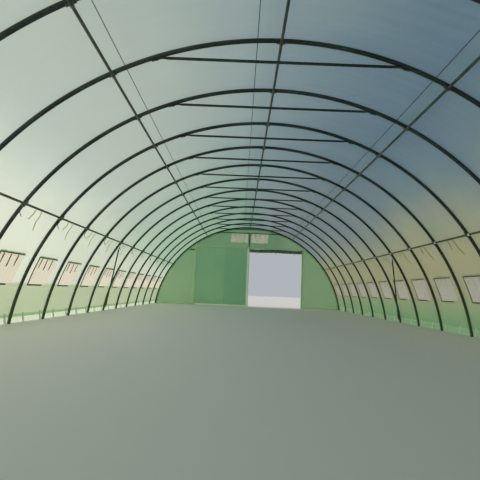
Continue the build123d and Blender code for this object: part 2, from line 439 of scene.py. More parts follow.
across, up = on_arc(PURLIN_RADIUS, 90)
ear_height = up + PURLIN_TUBE / 2 - CLAMP_STRIP / 2
strap = cross_line("strap", CLAMP_WIDTH, -CLAMP_BEND - CLAMP_EAR, ear_height)
extrude(CLAMP_EAR, 0, 0)
extrude(0, 0, up - ear_height)
bpy.ops.mesh.spin(steps=8, angle=pi, center=(0, 0, up), axis=(0, 1, 0))
extrude(0, 0, ear_height - up)
extrude(CLAMP_EAR, 0, 0)
leave()
solidify(strap, CLAMP_STRIP)
screw_across = CLAMP_BEND + 0.55 * CLAMP_EAR
screws = [
    bolt("screw", (way * screw_across, 0, ear_height - 0.0055), (0, 0, -1), 0.0055, 0.005)
    for way in (-1, 1)
]
strap = join([strap] + screws, "strap")
soften(strap)
straps = []
for angle in PURLIN_ANGLES.values():
    turn = Matrix.Translation((0, 0, -ARC_DROP)) @ Matrix.Rotation(radians(90 - angle), 4, "Y")
    turn = turn @ Matrix.Translation((0, 0, ARC_DROP))
    for place in HOOP_PLACES:
        straps.append(twin(strap, "strap_copy", Matrix.Translation((0, place, 0)) @ turn))
bpy.data.objects.remove(strap)
clamp_finish = dull_zinc("zinc_strap", (0.1, 0.11, 0.1), (0.26, 0.27, 0.23), 0.34)
fit(join(straps, "strap_clamps"), clamp_finish, "zinc_strap", "purlin_clamps")


# Wind braces
# One slanted tube on each side stiffens one bay, from the side rail at a hoop to
# the foot of the next; both ends are pressed flat and bolted.
BRACE_TUBE = 0.025
BRACE_BAY = 9
BRACE_START = BRACE_BAY * BAY - END
BRACE_TOP = on_arc(PURLIN_RADIUS, 33.3)
BRACE_LIFT = 0.06
BRACE_FOOT = on_arc(PURLIN_RADIUS, degrees(asin((BRACE_LIFT + ARC_DROP) / PURLIN_RADIUS)))
BRACE_BEND, BRACE_FLAT, BRACE_HOLE = 0.025, 0.045, 0.022

braces = []
for side in (-1, 1):
    top = Vector((side * BRACE_TOP[0], BRACE_START, BRACE_TOP[1]))
    foot = Vector((side * BRACE_FOOT[0], BRACE_START + BAY, BRACE_FOOT[1]))
    run = foot - top
    round_length = run.length - 2 * (BRACE_BEND + BRACE_FLAT)
    brace = tube("brace", (0, 0, 0), round_length, BRACE_TUBE / 2, sides=16)
    edit("FACE")
    for way in (-1, 1):
        pick("faces", lambda face: face.normal.z * way > 0.9)
        extrude(0, 0, way * BRACE_BEND)
        bpy.ops.transform.resize(value=(PRESSED_THIN, PRESSED_WIDE, 1))
        extrude(0, 0, way * BRACE_FLAT)
    leave()
    reach = run.length / 2 - BRACE_HOLE
    ends = [bolt("brace_bolt", (-0.006, 0, way * reach), (-1, 0, 0)) for way in (-1, 1)]
    brace = join([brace] + ends, "brace")
    out = Vector((side, 0, 0.3)).normalized()
    down = run.normalized()
    face = (out - out.dot(down) * down).normalized()
    turn = Matrix((face, down.cross(face), down)).transposed().to_4x4()
    brace.data.transform(Matrix.Translation((top + foot) / 2) @ turn)
    soften(brace)
    braces.append(brace)
fit(join(braces, "wind_brace_tubes"), hoop_finish, "galvanised_tube", "wind_braces")


# Line wires
# Three coated wires lie taut over the hoops, under the film, which rests on them.
# The frame's own round wires are kept, with a finish added.
finish = Finish("coated_wire")
across, along, up = finish.place()
lay = finish.cloud(finish.vector(across * 40.0, along * 9.0, up * 40.0), 3.0)
coat = finish.mix(lay.between(0.3, 0.7), (0.02, 0.03, 0.03), (0.06, 0.08, 0.07))
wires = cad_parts["line_wires"]
wires.data.materials.clear()
wires.data.materials.append(finish.done(finish.body(Base_Color=coat, Roughness=0.45 + 0.2 * lay)))


# Cover film
# Woven polythene tape sealed between two clear layers, drawn over the hoops in one
# piece; between hoops it draws in a little, except where it lies on a line wire.
FILM_INSIDE = 3.1016
FILM_MIDDLE = 3.1031
FILM_SHEET = 0.0012
FILM_END = 8.0233
SKIRT_HEIGHT, HEM_HEIGHT = 0.075, 0.112
HEM_ANGLE = degrees(asin((SKIRT_HEIGHT + ARC_DROP) / FILM_INSIDE))
HEM_TOP = degrees(asin((HEM_HEIGHT + ARC_DROP) / FILM_INSIDE))
FOOT_ANGLE = degrees(asin(ARC_DROP / FILM_MIDDLE))
SLACK = 0.017
WIRE_ANGLES = (65.0, 93.7, 115.0)
WIRE_HOLD = 0.13
WINDOW_LOW, WINDOW_HIGH = 17.6, 24.3
WINDOW_WIDTH = 0.56
TAPE_SPACING, GRID_SPACING = 0.012, 0.06
SEAM_PLACE, SEAM_WIDTH = 1.424, 0.105
ARC_SPAN = 2.85
PANEL_EDGE = 1.26
MERGE_WITHIN = 0.0004


def film_finish(name, tones, glows, clear, low=None):
    """Woven film. Its tones run from the left foot over the roof to the right foot, as do its
    glows, the light that comes through it; low gives both for the panel under the windows.
    Tones and glows that differ from side to side are painted light, and so are the marks below:
    a green towards the far end, warm light on the right of the roof and through the holes low on
    the right, and more glow low on the left near the near end."""
    finish = Finish(name)
    across, along, up = finish.place()
    around = across.math("ARCTAN2", up + ARC_DROP)
    round_arc = around * FILM_MIDDLE
    spot = finish.vector(round_arc, along, 0.0)
    haze = finish.cloud(spot, 0.55, 4.0, 0.6)
    mottle = finish.cloud(spot, 1.7)
    drawn = finish.cloud(finish.vector(round_arc * 0.5, along * 14.0, 0.0), 1.0)
    threads = round_arc.waves(TAPE_SPACING) * along.waves(TAPE_SPACING)
    ripstop = round_arc.lines(GRID_SPACING, 0.0, 0.12) * along.lines(GRID_SPACING, 0.0, 0.12)
    share = around * (1 / ARC_SPAN) + 0.5 + (haze - 0.5) * 0.14
    # Painted light: a greener tint and glow over the left of the roof, growing towards the far end.
    deep = along.between(-3.0, 7.0) * share.band(0.33, 0.26, 0.12) * 0.5
    # Painted light: a warm tint and glow over the right of the roof in the far half.
    painted_warm_light = along.between(-3.0, 3.0) * share.band(0.66, 0.15, 0.1) * 0.3
    # Painted light: more glow low on the left towards the near end.
    sunlit = along.between(0.5, -3.0) * share.band(0.14, 0.12, 0.08)
    tint = finish.add("ShaderNodeValToRGB", {"stops": tones}, {0: share})
    lap = round_arc.math("ABSOLUTE").band(SEAM_PLACE, SEAM_WIDTH, 0.012)
    worn = 0.10 * threads + 0.4 * haze + 0.5 * drawn + 0.12 * ripstop
    tint = finish.mix(worn.between(0.2, 0.9) * 0.3, tint, (0.86, 0.92, 0.84))
    tint = finish.mix(mottle.between(0.45, 0.75) * 0.22, tint, (0.5, 0.7, 0.44))
    tint = finish.mix(lap * 0.35, tint, (0.4, 0.62, 0.46))
    tint = finish.mix(deep, tint, (0.36, 0.58, 0.4))
    tint = finish.mix(painted_warm_light, tint, (0.8, 0.66, 0.55))
    glow = finish.light_through(glows[0])
    steps = [(share.between(low_share, high_share), shade) for low_share, high_share, shade in glows[1:]]
    for part, shade in steps + [(deep, (0.42, 0.72, 0.48)), (painted_warm_light, (0.95, 0.8, 0.66))]:
        glow = finish.blend(part, glow, finish.light_through(shade))
    # Under the windows each side gets its own tone and glow: painted light, lighter on the left and greener
    # on the right.
    if low:
        side = across.between(-0.5, 0.5)
        turned = around.math("ABSOLUTE")
        panel = turned.between(PANEL_EDGE - 0.006, PANEL_EDGE + 0.006)
        panel = panel + side * (turned.between(PANEL_EDGE - 0.05, PANEL_EDGE + 0.10) - panel)
        tint = finish.mix(panel, tint, finish.mix(side, low[0], low[1]))
        under = finish.blend(side, finish.light_through(low[2]), finish.light_through(low[3]))
        glow = finish.blend(panel, glow, under)
    weave = finish.bump(threads + 0.6 * drawn, 0.0006, 0.35)
    skin = finish.body(Base_Color=tint, Roughness=0.42 + 0.15 * haze, Normal=weave)
    # Painted light: warm light through the holes low on the right side.
    hole = finish.opening((0.93, 1.0, 0.95))
    warm = finish.opening((1.0, 0.95, 0.76))
    hole = finish.blend(share.between(0.76, 0.88), hole, warm)
    return finish.pierced(0.55 + 0.1 * sunlit, skin, glow, clear, hole)


def ripple(*spot):
    return noise.noise(Vector(spot))


def slack(along, angle):
    """How far the film is drawn in at this place, in metres."""
    share = ((along + END) % BAY) / BAY
    if abs(along) > END:
        return 0.0
    free = 1.0
    for wire in WIRE_ANGLES:
        free *= 1 - exp(-((radians(angle - wire) * FILM_MIDDLE / WIRE_HOLD) ** 2))
    height = sin(radians(angle))
    pull = 4 * share * (1 - share) * (0.35 + 0.65 * height) * free
    uneven = 0.0016 * ripple(along * 2.1, angle * 0.12, 3.0)
    return SLACK * pull + uneven * (1 - height * 0.6) * free


def point(name, place):
    """A new piece of one point, in edit mode, ready to be extruded."""
    start()
    bpy.ops.mesh.primitive_plane_add(size=1, location=place)
    piece = settle(name)
    edit()
    bpy.ops.mesh.merge(type="CENTER")
    return piece


def spin_arc(steps, angle):
    """In edit mode, sweeps the whole piece over the tunnel by this angle."""
    select_all()
    bpy.ops.mesh.spin(steps=steps, angle=angle, center=(0, 0, -ARC_DROP), axis=(0, 1, 0))
    leave()


def film_arc(name, low, high, rows, marks):
    """A sheet round the arc between two angles, with its cross lines at these marks."""
    across, up = on_arc(FILM_MIDDLE, low)
    sheet = point(name, (across, marks[0], up))
    for before, after in zip(marks, marks[1:]):
        extrude(0, after - before, 0)
    spin_arc(rows, radians(high - low))
    return sheet


def dress_outside(sheet, material):
    """The faces that look out get a finish of their own."""
    sheet.data.materials.append(material)
    for face in sheet.data.polygons:
        if face.normal.x * face.center.x + face.normal.z * (face.center.z + ARC_DROP) > 0:
            face.material_index = 1


def bay_marks(bends):
    """Places along the tunnel at these shares of every bay, and the two ends."""
    marks = [place + share * BAY for place in HOOP_PLACES[:-1] for share in bends]
    return [-FILM_END] + marks + [END, FILM_END]


def thicken(sheet, thickness=FILM_SHEET):
    """Gives a sheet its thickness, with all faces of the closed shell pointing out."""
    solidify(sheet, thickness)
    choose(sheet)
    edit()
    bpy.ops.mesh.normals_make_consistent(inside=False)
    leave()
    soften(sheet, 60)


def draw_in(sheet, thickness=FILM_SHEET):
    """Pulls the sheet in between the hoops and gives it its thickness."""
    for corner in sheet.data.vertices:
        x, z = corner.co.x, corner.co.z + ARC_DROP
        radius = sqrt(x * x + z * z)
        reach = 1 - slack(corner.co.y, degrees(atan2(z, x))) / radius
        corner.co.x, corner.co.z = x * reach, z * reach - ARC_DROP
    thicken(sheet, thickness)


# Painted light: the cover is lightest and warmest low on the left, towards the lamp, painted dark blue-grey
# over the right of the roof, and tan low on the right.
cover_tones_painted_light = [
    (0.0, (0.7, 0.78, 0.52)),
    (0.08, (0.86, 0.9, 0.7)),
    (0.135, (1.0, 1.0, 0.9)),
    (0.2, (0.86, 0.88, 0.78)),
    (0.34, (0.57, 0.63, 0.61)),
    (0.5, (0.33, 0.38, 0.43)),
    (0.57, (0.2, 0.29, 0.42)),
    (0.65, (0.07, 0.18, 0.38)),
    (0.72, (0.46, 0.56, 0.7)),
    (0.79, (0.72, 0.7, 0.62)),
    (0.86, (0.84, 0.78, 0.56)),
    (1.0, (0.76, 0.76, 0.5)),
]
# Painted light: the glows are bright on the left, dim blue over the middle and right of the roof, and warm
# low on the right.
cover_glows_painted_light = [
    (1.0, 1.0, 0.93),
    (0.13, 0.24, (0.83, 0.86, 0.84)),
    (0.3, 0.66, (0.36, 0.5, 0.66)),
    (0.72, 0.86, (0.94, 0.88, 0.66)),
]
# Tones for the left and right under the windows, then glows for the left and right: painted light.
under_windows_painted_sides = (
    (0.69, 0.75, 0.6), (0.4, 0.62, 0.4), (0.75, 0.79, 0.6), (0.6, 0.92, 0.62)
)
cover_film = film_finish("cover_film", cover_tones_painted_light, cover_glows_painted_light, 0.3, under_windows_painted_sides)
outside_tones = [
    (0.0, (0.5, 0.68, 0.48)),
    (0.3, (0.46, 0.64, 0.48)),
    (0.6, (0.4, 0.58, 0.46)),
    (1.0, (0.48, 0.66, 0.46)),
]
outside_under = ((0.5, 0.7, 0.46), (0.44, 0.64, 0.42), *under_windows_painted_sides[2:])
cover_outside = film_finish("cover_outside", outside_tones, cover_glows_painted_light, 0.3, outside_under)
even = [step / 20 for step in range(20)]
for name, low, high in (("right", RAIL_ANGLE, 90.0), ("left", 90.0, 180 - RAIL_ANGLE)):
    sheet = film_arc(f"roof_film_{name}", low, high, 44, bay_marks(even))
    draw_in(sheet)
    fit(sheet, cover_film, "cover_film", f"cover_roof_{name}")
    dress_outside(sheet, cover_outside)

window_edges = [(1 - WINDOW_WIDTH) / 2, (1 + WINDOW_WIDTH) / 2]
side_bends = [0.0, 0.05, 0.11, 0.165] + [window_edges[0] + WINDOW_WIDTH * step / 10 for step in range(11)]
side_bends += [0.835, 0.89, 0.95]


def in_window(face):
    """Whether this face of the side film lies in one of the window openings."""
    spot = face.calc_center_median()
    angle = degrees(atan2(spot.z + ARC_DROP, abs(spot.x)))
    share = ((spot.y + END) % BAY) / BAY
    beside = abs(spot.y) < END and window_edges[0] < share < window_edges[1]
    return beside and WINDOW_LOW < angle < WINDOW_HIGH


for name, side in SIDES:
    bands = []
    for low, high, rows in (
        (HEM_TOP, WINDOW_LOW, 6), (WINDOW_LOW, WINDOW_HIGH, 6), (WINDOW_HIGH, RAIL_ANGLE, 8)
    ):
        if side < 0:
            low, high = 180 - high, 180 - low
        bands.append(film_arc("band", low, high, rows, bay_marks(side_bends)))
    sheet = join(bands, f"side_film_{name}")
    edit("FACE")
    pick("faces", in_window)
    bpy.ops.mesh.delete(type="FACE")
    select_all()
    bpy.ops.mesh.remove_doubles(threshold=MERGE_WITHIN)
    leave()
    draw_in(sheet)
    fit(sheet, cover_film, "cover_film", f"cover_side_{name}")
    dress_outside(sheet, cover_outside)


# Hem and skirt
# Along the foot the film has a doubled hem, and a paler skirt hangs from it to
# the ground, where it is buried.
# Painted light: the skirt and hem are greener on the right than on the left, in tone and in the light
# through them.
pale_tones = [
    (0.0, (0.86, 0.92, 0.78)),
    (0.5, (0.9, 0.95, 0.85)),
    (1.0, (0.5, 0.78, 0.52)),
]
pale_glows = [(0.94, 0.97, 0.85), (0.4, 0.6, (0.66, 0.96, 0.7))]
skirt_film = film_finish("skirt_film", pale_tones, pale_glows, 0.35)
hem_tones = [(0.0, (0.44, 0.6, 0.34)), (1.0, (0.48, 0.78, 0.5))]
hem_glows = [(0.5, 0.66, 0.4), (0.4, 0.6, (0.66, 1.0, 0.66))]
hem_film = film_finish("hem_film", hem_tones, hem_glows, 0.25)
for name, side in SIDES:
    skirt_node = [f"cover_skirt_{name}"]
    for piece_name, low, high, rows, thickness, finish, slot, nodes in (
        ("skirt_film", FOOT_ANGLE, HEM_ANGLE, 4, FILM_SHEET, skirt_film, "skirt_film", skirt_node),
        ("hem_band", HEM_ANGLE, HEM_TOP, 2, 0.0030, hem_film, "cover_film", []),
    ):
        if side < 0:
            low, high = 180 - high, 180 - low
        sheet = film_arc(f"{piece_name}_{name}", low, high, rows, bay_marks(even))
        draw_in(sheet, thickness)
        fit(sheet, finish, slot, *nodes)


# Windows
# Each opening has fine pale net welded in, dark bands along three edges, and above it,
# outside, the spare film rolled up in three straps whose ends hang down over the net.
WINDOW_MIDDLE = (WINDOW_LOW + WINDOW_HIGH) / 2
WINDOW_HALF = radians(WINDOW_HIGH - WINDOW_LOW) * FILM_MIDDLE / 2
ROLL_RADIUS = 0.0112
ROLL_RISE = WINDOW_HALF + 0.014
ROLL_LIFT = ROLL_RADIUS + 0.0035
NET_SEAM = 0.006
NET_THREAD = 0.0006
NET_SPACING, NET_ROWS = 0.006, 0.028
FLAP_WIDTH = 0.58
FLAP_SPARE = 0.05
FLAP_PITCH = 0.0009
WEBBING = 0.0014
RIB_SPACING = 0.004
TOP_BAND, FOOT_BAND, SIDE_BAND = (0.60, 0.013), (0.44, 0.020), 0.026
BAND_LIFT = -0.0017
WINDOW_TIES = (-0.14, 0.150), (0.028, 0.165), (0.19, 0.145)
TIE_WIDTH = 0.014
TIE_TURN = 0.022


def patch(name, width, height, place=(0.0, 0.0), columns=1, rows=1, lift=0.0, thickness=WEBBING):
    """A flat strip, drawn as seen from outside: X to the right, Y up and Z outwards."""
    start()
    bpy.ops.mesh.primitive_grid_add(
        x_subdivisions=columns, y_subdivisions=rows, size=1, location=(*place, lift)
    )
    bpy.context.object.scale = (width, height, 1)
    strip = settle(name)
    solidify(strip, thickness)
    return strip


def on_side(piece, side, middle, angle):
    """A copy of a piece drawn as seen from outside, laid on the side film at this bay and angle."""
    other = twin(piece, piece.name + "_laid", Matrix())
    for corner in other.data.vertices:
        along = middle + side * corner.co.x
        turn = angle + degrees(corner.co.y / FILM_MIDDLE)
        turn = turn if side > 0 else 180 - turn
        across, up = on_arc(FILM_MIDDLE + corner.co.z - slack(along, turn), turn)
        corner.co = (across, along, up)
    return other


def every_bay(piece, name, angle, material, slot, *nodes):
    """The piece laid in every bay of both sides, one finished piece for each side."""
    sides = []
    for end, side in SIDES:
        laid = [on_side(piece, side, middle, angle) for middle in BAY_CENTRES]
        whole = join(laid, f"{name}_{end}")
        soften(whole)
        sides.append(fit(whole, material, slot, *[f"{node}_{end}" for node in nodes]))
    bpy.data.objects.remove(piece)
    return sides


def rolled_film(name, length, outside, height, pitch, parts, thickness):
    """Film of this height rolled up round the X axis; its cut ends show the turns."""
    inside = sqrt(outside**2 - height * pitch / pi)
    turns = (outside - inside) / pitch
    steps = round(12 * turns)
    spiral = []
    for step in range(steps + 1):
        radius = outside + (inside - outside) * step / steps
        turned = 2 * pi * turns * step / steps
        spiral.append((radius * cos(turned), -radius * sin(turned)))
    roll = point(name, (-length / 2, *spiral[0]))
    for before, after in zip(spiral, spiral[1:]):
        extrude(0, after[0] - before[0], after[1] - before[1])
    select_all()
    for part in range(parts):
        extrude(length / parts, 0, 0)
    leave()
    solidify(roll, thickness)
    return roll


def ring_strap(name, radius, width, place):
    """A strap once round the X axis at this place."""
    start()
    bpy.ops.mesh.primitive_circle_add(
        vertices=14, radius=radius, location=(place - width / 2, 0, 0), rotation=(0, pi / 2, 0)
    )
    ring = settle(name)
    edit()
    extrude(width, 0, 0)
    leave()
    solidify(ring, WEBBING)
    return ring


def net_look(name, dark, light, glow, open_share):
    """Fine net: crossed threads with holes between, and a wider grid of thicker ones."""
    finish = Finish(name)
    across, along, up = finish.place()
    round_arc = across.math("ARCTAN2", up + ARC_DROP) * FILM_MIDDLE
    threads = along.lines(NET_SPACING, 0.35, 0.7) * round_arc.lines(NET_SPACING, 0.35, 0.7)
    rows = along.lines(NET_ROWS, 0.0, 0.25) * round_arc.lines(NET_ROWS, 0.0, 0.25)
    haze = finish.cloud(finish.vector(round_arc, along, up), 3.0)
    yarn = finish.mix(haze.between(0.35, 0.65), dark, light)
    # Painted shade: the nets are tinted olive towards the near end, where less light shows through them at
    # a slant.
    yarn = finish.mix(along.between(2.0, -2.5) * 0.55, yarn, (0.64, 0.74, 0.46))
    yarn = finish.mix(rows, finish.mix(0.3, yarn, (0.5, 0.45, 0.34)), yarn)
    skin = finish.body(Base_Color=yarn, Roughness=0.6)
    through, hole = finish.light_through(glow), finish.opening((1.0, 0.97, 0.9))
    return finish.pierced(0.6, skin, through, open_share + 0.3 * threads, hole)


net_finish = net_look(
    "insect_net", (0.9, 0.85, 0.68), (1.0, 0.88, 0.8), (1.0, 0.94, 0.86), 0.2
)
net_width, net_height = WINDOW_WIDTH + 2 * NET_SEAM, 2 * (WINDOW_HALF + NET_SEAM)
net = patch("net", net_width, net_height, columns=10, rows=6, thickness=NET_THREAD)
window_nets = every_bay(net, "window_net", WINDOW_MIDDLE, net_finish, "insect_net", "window_nets")


def webbing_look(name, dark, light, paler, through):
    """Woven strap with fine ribs; paler is its tone where the sun reaches it, above the window."""
    finish = Finish(name)
    across, along, up = finish.place()
    ribs = along.waves(RIB_SPACING) * up.waves(RIB_SPACING)
    worn = finish.cloud(finish.vector(across, along, up), 9.0)
    tone = finish.mix(worn.between(0.3, 0.7), dark, light)
    tone = finish.mix(up.between(0.55, 0.75) * 0.5, tone, paler)
    skin = finish.body(Base_Color=tone, Roughness=0.7, Normal=finish.bump(ribs, 0.0004, 0.5))
    return finish.done(finish.blend(through, skin, finish.light_through((0.5, 0.52, 0.3))))


webbing = webbing_look(
    "dark_webbing", (0.05, 0.065, 0.025), (0.13, 0.15, 0.07), (0.3, 0.33, 0.16), 0.2
)
# A lighter, more see-through copy of the webbing for the right side's bands: painted light.
faded_webbing = webbing_look(
    "faded_webbing", (0.18, 0.2, 0.1), (0.3, 0.32, 0.18), (0.28, 0.3, 0.16), 0.4
)

bands = join(
    [
        patch("band", *TOP_BAND, (0.0, WINDOW_HALF + 0.005), columns=10, lift=BAND_LIFT),
        patch("band", *FOOT_BAND, (0.075, -WINDOW_HALF - 0.008), columns=8, lift=BAND_LIFT),
        patch(
            "band", SIDE_BAND, 2 * WINDOW_HALF, (WINDOW_WIDTH / 2 + 0.004, 0.0),
            rows=6, lift=-0.0030, thickness=0.0030,
        ),
    ],
    "bands",
)
window_bands = every_bay(bands, "window_bands", WINDOW_MIDDLE, webbing, "rolled_flap")
# The right side's bands take the lighter webbing: painted light.
window_bands[0].data.materials[0] = faded_webbing

hanging, inside_ties = [], []
for place, length in WINDOW_TIES:
    ring = ring_strap("ring", ROLL_RADIUS + 0.0022, TIE_WIDTH, place)
    ring.data.transform(Matrix.Translation((0, ROLL_RISE, ROLL_LIFT)))
    middle = (place, WINDOW_HALF + TIE_TURN / 2 - length / 2)
    tail = patch("tail", TIE_WIDTH, length + TIE_TURN, middle, rows=8, lift=0.0026)
    for corner in tail.data.vertices:
        hang = WINDOW_HALF - corner.co.y
        corner.co.x += 0.006 * sin(26 * hang + 40 * place)
        corner.co.z += 0.009 * exp(-((hang + TIE_TURN) / 0.016) ** 2)
    hanging += [ring, tail]
    middle = (place, WINDOW_HALF - length / 2)
    inner = patch("tail", 0.015, length - 0.02, middle, rows=8, lift=-0.0036)
    for corner in inner.data.vertices:
        hang = max(0.0, WINDOW_HALF - corner.co.y)
        corner.co.x += 0.005 * sin(22 * hang + 60 * place)
        corner.co.z -= 0.05 * hang**1.5
    inside_ties.append(inner)
every_bay(join(hanging, "hanging"), "window_straps", WINDOW_MIDDLE, webbing, "rolled_flap")
inside_ties = join(inside_ties, "inside_ties")
laid = [on_side(inside_ties, -1, middle, WINDOW_MIDDLE) for middle in BAY_CENTRES]
bpy.data.objects.remove(inside_ties)
fit(join(laid, "window_ties_left"), webbing, "rolled_flap")


def rolled_look(name, dark, light):
    """Film in many layers, creased along the roll."""
    finish = Finish(name)
    across, along, up = finish.place()
    creases = finish.cloud(finish.vector(across * 8.0, along * 3.0, up * 30.0), 2.0, 4.0)
    tone = finish.mix(creases.between(0.3, 0.7), dark, light)
    grain = finish.bump(creases, 0.004, 0.6)
    return finish.done(finish.body(Base_Color=tone, Roughness=0.5, Normal=grain))


flap_finish = rolled_look("rolled_flap_film", (0.2, 0.38, 0.2), (0.4, 0.6, 0.38))
flap_height = 2 * WINDOW_HALF + FLAP_SPARE
flap = rolled_film("flap", FLAP_WIDTH, ROLL_RADIUS, flap_height, FLAP_PITCH, 9, FILM_SHEET / 2)
for corner in flap.data.vertices:
    squeeze = 0.12 * exp(-((corner.co.x - WINDOW_TIES[1][0]) / 0.02) ** 2)
    full = 1 + 0.07 * ripple(corner.co.x * 9, 0, 1) - squeeze
    corner.co.y, corner.co.z = corner.co.y * full + ROLL_RISE, corner.co.z * full + ROLL_LIFT
flaps = every_bay(flap, "window_flap", WINDOW_MIDDLE, flap_finish, "rolled_flap", "window_rolls")


# Loose straps
# Under each side rail two spare straps are sewn to the film in every bay. Beside
# each hoop the left rail has a strap tied round it, and the right rail a white clip.
SPARE_STRAPS = (0.15, 0.13), (0.0, 0.24)
SPARE_WIDTH = 0.024
SPARE_TOP = -0.03
CLIP_LENGTH, CLIP_RADIUS, CLIP_WALL, CLIP_LIP = 0.046, 0.015, 0.0036, 0.014
CLIP_PLACE, TIED_PLACE = -0.10, -0.085
TIED_WIDTH, TIED_TAIL = 0.008, 0.13

loose = []
for place, length in SPARE_STRAPS:
    middle = place, SPARE_TOP - length / 2
    spare = patch("spare", SPARE_WIDTH, length, middle, rows=12, lift=-0.0034)
    for corner in spare.data.vertices:
        fall = SPARE_TOP - corner.co.y
        corner.co.x -= 0.35 * fall * (place == 0.0) + 0.012 * sin(34 * fall) * min(1.0, fall / 0.05)
    loose.append(spare)



def worn_look(name, scale, span, dark, light, rough, grain, through, glow, patchy=0.0):
    """Plastic strap in two tones, in soft patches, with some light through it."""
    finish = Finish(name)
    worn = finish.cloud(finish.vector(*finish.place()), scale)
    tone = finish.mix(worn.between(*span), dark, light)
    roughness = rough + patchy * worn if patchy else rough
    skin = finish.body(Base_Color=tone, Roughness=roughness, Normal=finish.bump(worn, *grain))
    return finish.done(finish.blend(through, skin, finish.light_through(glow)))


olive_strap = worn_look(
    "olive_strap", 12.0, (0.3, 0.7), (0.26, 0.29, 0.12), (0.46, 0.48, 0.26),
    0.7, (0.0008, 0.5), 0.65, (0.86, 0.88, 0.68),
)
every_bay(join(loose, "loose"), "spare_straps", RAIL_ANGLE, olive_strap, "rolled_flap")

clip_finish = worn_look(
    "white_clip", 30.0, (0.3, 0.75), (0.95, 0.95, 0.9), (0.84, 0.86, 0.78),
    0.4, (0.0005, 1.0), 0.2, (0.96, 0.96, 0.9), patchy=0.2,
)
clip = cross_line("clip", CLIP_LENGTH, -CLIP_RADIUS)
bpy.ops.mesh.spin(steps=14, angle=radians(285), center=(0, 0, 0), axis=(0, 1, 0))
extrude(CLIP_LIP, 0, -0.016)
leave()
solidify(clip, CLIP_WALL)
soften(clip)

tied = ring_strap("tied", PURLIN_TUBE / 2 + 0.0016, TIED_WIDTH, 0.0)
tied.data.transform(Matrix.Rotation(pi / 2, 4, "Z"))
tail = patch("tail", TIED_WIDTH, TIED_TAIL, (0.0, -0.075), rows=14)
tail.data.transform(Matrix.Rotation(pi / 2, 4, "X"))
for corner in tail.data.vertices:
    fall = -corner.co.z
    corner.co.x += 0.009 * sin(52 * fall) * min(1.0, fall / 0.04) - 0.014
    corner.co.y += 0.010 * sin(38 * fall + 0.6)
tied = join([tied, tail], "tied")
soften(tied)

clips, tails = [], []
for place in HOOP_PLACES[1:]:
    across, up = on_arc(PURLIN_RADIUS, RAIL_ANGLE)
    turn = Matrix.Rotation(radians(120), 4, "Y")
    clips.append(twin(clip, "clip_copy", Matrix.Translation((across, place + CLIP_PLACE, up)) @ turn))
    tails.append(twin(tied, "tail_copy", Matrix.Translation((-across, place + TIED_PLACE, up))))
bpy.data.objects.remove(clip)
bpy.data.objects.remove(tied)
fit(join(clips, "rail_clips"), clip_finish, "pale_tie")
fit(join(tails, "rail_strap_ends"), webbing, "rolled_flap")


# Ground ties
# Short pale straps hold the skirt down, slanting forward as they go up.
GROUND_TIE_SHARES = (0.38, 0.91)
GROUND_TIE_WIDTH, GROUND_TIE_LENGTH, GROUND_TIE_FOOT = 0.058, 0.124, 0.010

strap_finish = worn_look(
    "pale_strap", 24.0, (0.35, 0.7), (0.98, 0.97, 0.9), (1.0, 1.0, 0.96),
    0.55, (0.001, 0.4), 0.3, (1.0, 1.0, 0.92),
)

pegs = []
for side in (1, -1):
    middle = 0.0, GROUND_TIE_FOOT + GROUND_TIE_LENGTH / 2
    peg = patch("peg", GROUND_TIE_WIDTH, GROUND_TIE_LENGTH, middle, 2, 8, lift=-0.004, thickness=0.0035)
    for corner in peg.data.vertices:
        rise = max(0.0, corner.co.y - GROUND_TIE_FOOT) / GROUND_TIE_LENGTH
        corner.co.x = corner.co.x * (1 - 0.45 * rise**3) - side * 0.034 * rise**1.4
        corner.co.z -= 0.022 * (1 - rise) ** 2
    for middle in BAY_CENTRES:
        for share in GROUND_TIE_SHARES:
            pegs.append(on_side(peg, side, middle + (share - 0.5) * BAY, FOOT_ANGLE))
    bpy.data.objects.remove(peg)
ground_ties = join(pegs, "ground_tie_straps")
soften(ground_ties)
fit(ground_ties, strap_finish, "pale_tie", "ground_ties")


# Door frames
# Two round posts are cut to the slope of the hoop, with a header between them and in
# the middle a taller post up to the collar tie, all joined by screwed sleeves.
POST_TUBE = 0.032
SLEEVE_RADIUS = POST_TUBE / 2 + 0.0022
SLEEVE_LENGTH, ARM_LENGTH, ARM_PLACE, SCREW_PLACE = 0.085, 0.05, 0.035, 0.045
FRAME_PLACE = END + (HOOP_TUBE - POST_TUBE) / 2
DOOR_ASIDE = 1.272
DOOR_HALF = sqrt(HOOP_RADIUS**2 - ARC_DROP**2) - DOOR_ASIDE
POST_TOP = sqrt(HOOP_IN**2 - DOOR_HALF**2) - ARC_DROP
HEADER_DROP = 0.09
HEADER_HEIGHT = POST_TOP - HEADER_DROP
CENTRE_TOP = TIE_HEIGHT - TIE_TUBE / 2


def both_ends(piece, name, material, slot, *nodes):
    """The far end's piece and its twin, turned half round, at the near end."""
    near = twin(piece, f"near_{name}", Matrix.Rotation(pi, 4, "Z"))
    piece.name = piece.data.name = f"far_{name}"
    for end, whole in (("far", piece), ("near", near)):
        fit(whole, material, slot, *[f"{end}_{node}" for node in nodes])
    return piece, near


